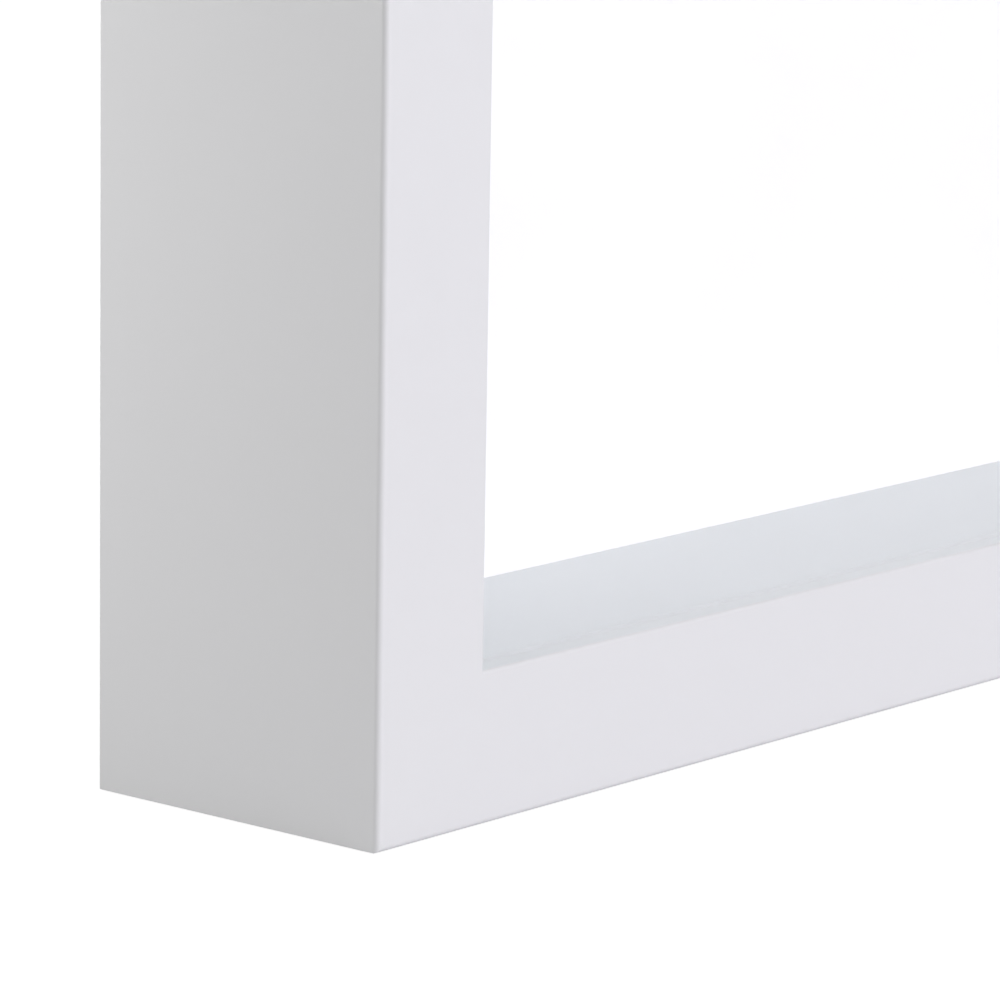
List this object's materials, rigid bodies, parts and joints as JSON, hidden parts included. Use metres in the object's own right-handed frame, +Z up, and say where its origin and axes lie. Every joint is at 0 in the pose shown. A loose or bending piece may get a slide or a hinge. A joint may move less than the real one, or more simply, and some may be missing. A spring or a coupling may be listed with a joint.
{
  "type": "shadow box",
  "caption": "Deep square-edged white display frame: mitred rabbeted rails, clear pane, spacer walls, a back that lifts out behind turn buttons, and hanging rings.",
  "frame": {"origin": "middle of the box's underside, midway between its front and rear faces", "axes": "+Z up, -Y out of the front, +Y towards the wall, +X to the right for someone facing the front"},
  "size_m": [0.3084, 0.0543, 0.3846],
  "materials": {
    "white_paint": "satin",
    "white_liner": "matte",
    "clear_acrylic": "polished",
    "white_board": "matte",
    "foam_core": "matte",
    "brown_hardboard": "matte",
    "zinc_steel": "satin",
    "screw_steel": "satin",
    "nail_steel": "satin",
    "grey_rubber": "matte"
  },
  "bodies": {
    "box": {"rail_bottom": "white_paint", "rail_right": "white_paint", "rail_top": "white_paint", "rail_left": "white_paint", "corner_nail_bottom_left": "nail_steel", "corner_nail_bottom_right": "nail_steel", "corner_nail_top_right": "nail_steel", "corner_nail_top_left": "nail_steel", "glazing_pane": "clear_acrylic", "liner_bottom": "white_liner", "liner_right": "white_liner", "liner_top": "white_liner", "liner_left": "white_liner", "turn_button_screw_bottom": "screw_steel", "turn_button_screw_right_lower": "screw_steel", "turn_button_screw_right_upper": "screw_steel", "turn_button_screw_top": "screw_steel", "turn_button_screw_left_lower": "screw_steel", "turn_button_screw_left_upper": "screw_steel", "hanger_strap_left": "zinc_steel", "hanger_strap_right": "zinc_steel", "hanger_screw_left": "screw_steel", "hanger_screw_right": "screw_steel", "wall_bumper_left": "grey_rubber", "wall_bumper_right": "grey_rubber"},
    "back": {"mount_board": "white_board", "foam_board": "foam_core", "back_panel": "brown_hardboard"},
    "button_bottom": {"turn_button_bottom": "zinc_steel"},
    "button_right_lower": {"turn_button_right_lower": "zinc_steel"},
    "button_right_upper": {"turn_button_right_upper": "zinc_steel"},
    "button_top": {"turn_button_top": "zinc_steel"},
    "button_left_lower": {"turn_button_left_lower": "zinc_steel"},
    "button_left_upper": {"turn_button_left_upper": "zinc_steel"},
    "ring_left": {"hanger_ring_left": "zinc_steel"},
    "ring_right": {"hanger_ring_right": "zinc_steel"}
  },
  "joints": [
    {"name": "back_lift_out", "type": "slide", "parent": "box", "child": "back", "axis": [0, 1, 0], "range_m": [0, 0.06]},
    {"name": "button_bottom_turn", "type": "hinge", "parent": "box", "child": "button_bottom", "pos_m": [0, 0.0248, 0.00675], "axis": [0, 1, 0], "range_deg": [-180, 0]},
    {"name": "button_right_lower_turn", "type": "hinge", "parent": "box", "child": "button_right_lower", "pos_m": [0.14745, 0.0248, 0.0963], "axis": [0, 1, 0], "continuous": true},
    {"name": "button_right_upper_turn", "type": "hinge", "parent": "box", "child": "button_right_upper", "pos_m": [0.14745, 0.0248, 0.2883], "axis": [0, 1, 0], "continuous": true},
    {"name": "button_top_turn", "type": "hinge", "parent": "box", "child": "button_top", "pos_m": [0, 0.0248, 0.37785], "axis": [0, 1, 0], "continuous": true},
    {"name": "button_left_lower_turn", "type": "hinge", "parent": "box", "child": "button_left_lower", "pos_m": [-0.14745, 0.0248, 0.0963], "axis": [0, 1, 0], "continuous": true},
    {"name": "button_left_upper_turn", "type": "hinge", "parent": "box", "child": "button_left_upper", "pos_m": [-0.14745, 0.0248, 0.2883], "axis": [0, 1, 0], "continuous": true},
    {"name": "ring_left_swing", "type": "hinge", "parent": "box", "child": "ring_left", "pos_m": [-0.14745, 0.0266, 0.242], "axis": [1, 0, 0], "range_deg": [0, 180]},
    {"name": "ring_right_swing", "type": "hinge", "parent": "box", "child": "ring_right", "pos_m": [0.14745, 0.0266, 0.242], "axis": [1, 0, 0], "range_deg": [0, 180]}
  ]
}
